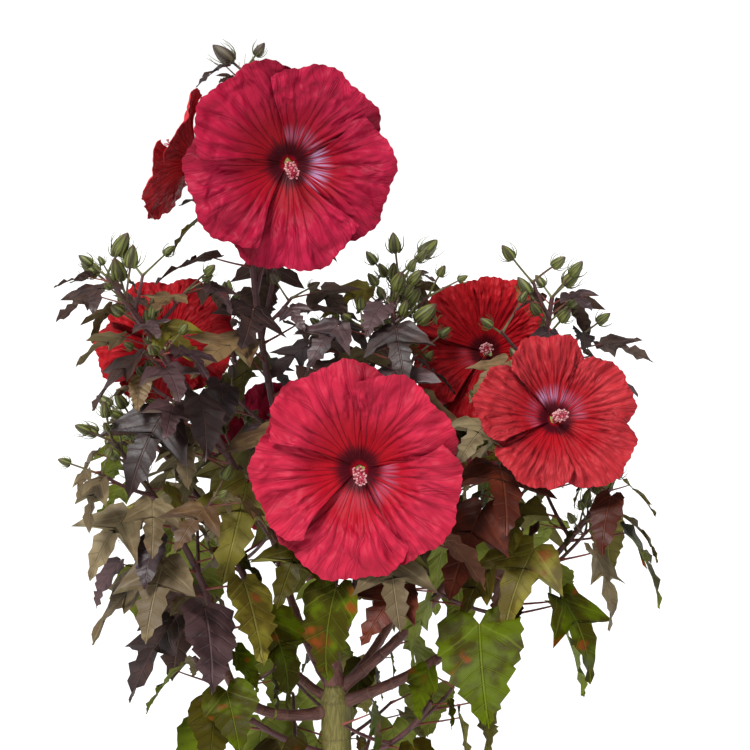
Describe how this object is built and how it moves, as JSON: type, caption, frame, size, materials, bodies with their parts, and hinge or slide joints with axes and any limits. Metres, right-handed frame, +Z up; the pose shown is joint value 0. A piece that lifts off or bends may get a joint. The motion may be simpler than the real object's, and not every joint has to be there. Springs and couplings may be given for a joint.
{
  "type": "hibiscus shrub",
  "caption": "Garden shrub on a woody trunk, with lobed dark leaves above, green leaves below, striped buds at the shoot tips and large round crimson blooms",
  "frame": {"origin": "centre of the flat cut under the trunk, at ground level", "axes": "+Z up, -Y towards the side shown in the picture, +X to that side's right"},
  "size_m": [0.6384, 0.4307, 0.9665],
  "materials": {
    "trunk_bark": "tan and green young bark with ringed scars",
    "bough_bark": "smooth purple-brown stems",
    "petals": "crimson, puckered and ribbed, satin",
    "dark_leaves": "dark purple-brown, semi-gloss",
    "bronze_leaves": "bronze turning green, semi-gloss",
    "green_leaves": "fresh green, satin"
  },
  "bodies": {
    "root": {"trunk": "trunk_bark", "leader": "bough_bark", "bough_left": "bough_bark", "bough_left_back": "bough_bark", "bough_left_high": "bough_bark", "bough_right": "bough_bark", "bough_right_high": "bough_bark", "bough_centre": "bough_bark", "bough_centre_high": "bough_bark", "bough_back_left": "bough_bark", "bough_back_right": "bough_bark", "bough_back": "bough_bark", "bloom_top": "petals", "bloom_centre": "petals", "bloom_right": "petals", "bloom_right_back": "petals", "bloom_side": "petals", "bloom_left": "petals", "bloom_back": "petals", "bloom_back_right": "petals", "bloom_back_top": "petals", "leaves_top": "dark_leaves", "leaves_left_high": "dark_leaves", "leaves_left": "dark_leaves", "leaves_right": "bronze_leaves", "leaves_right_high": "dark_leaves", "leaves_centre_high": "dark_leaves", "leaves_centre": "bronze_leaves", "leaves_left_back": "dark_leaves", "leaves_back_left": "dark_leaves", "leaves_back_right": "dark_leaves", "leaves_back": "dark_leaves", "leaves_low_left": "green_leaves", "leaves_low_right": "green_leaves", "leaves_low_back": "green_leaves"}
  },
  "joints": []
}
